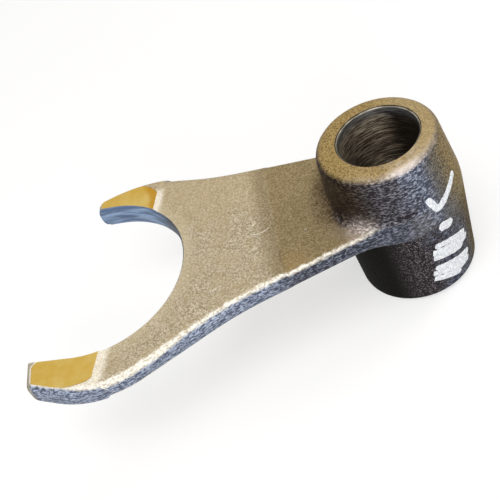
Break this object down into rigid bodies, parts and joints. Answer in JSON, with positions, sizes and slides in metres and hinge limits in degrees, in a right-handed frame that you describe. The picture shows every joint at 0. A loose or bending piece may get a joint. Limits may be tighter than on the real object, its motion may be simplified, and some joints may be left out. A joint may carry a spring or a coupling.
{
  "type": "shift fork",
  "caption": "Forged steel shift fork: a bored hub that slides on a rail, a flat flared arm and an uneven half-round fork with milled contact flats that moves a sliding collar.",
  "frame": {"origin": "on the axis of the rail bore, at the forging's parting plane, which is the middle of the arm's thickness", "axes": "+Z along the rail bore towards the hub's short end, +X from the bore towards the centre of the fork's gap, +Y towards the long prong"},
  "size_m": [0.1376, 0.0789, 0.0533],
  "materials": {
    "forged_steel": "shot-blasted as forged, with milled contact flats"
  },
  "bodies": {
    "root": {"shift_fork": "forged_steel"}
  },
  "joints": []
}
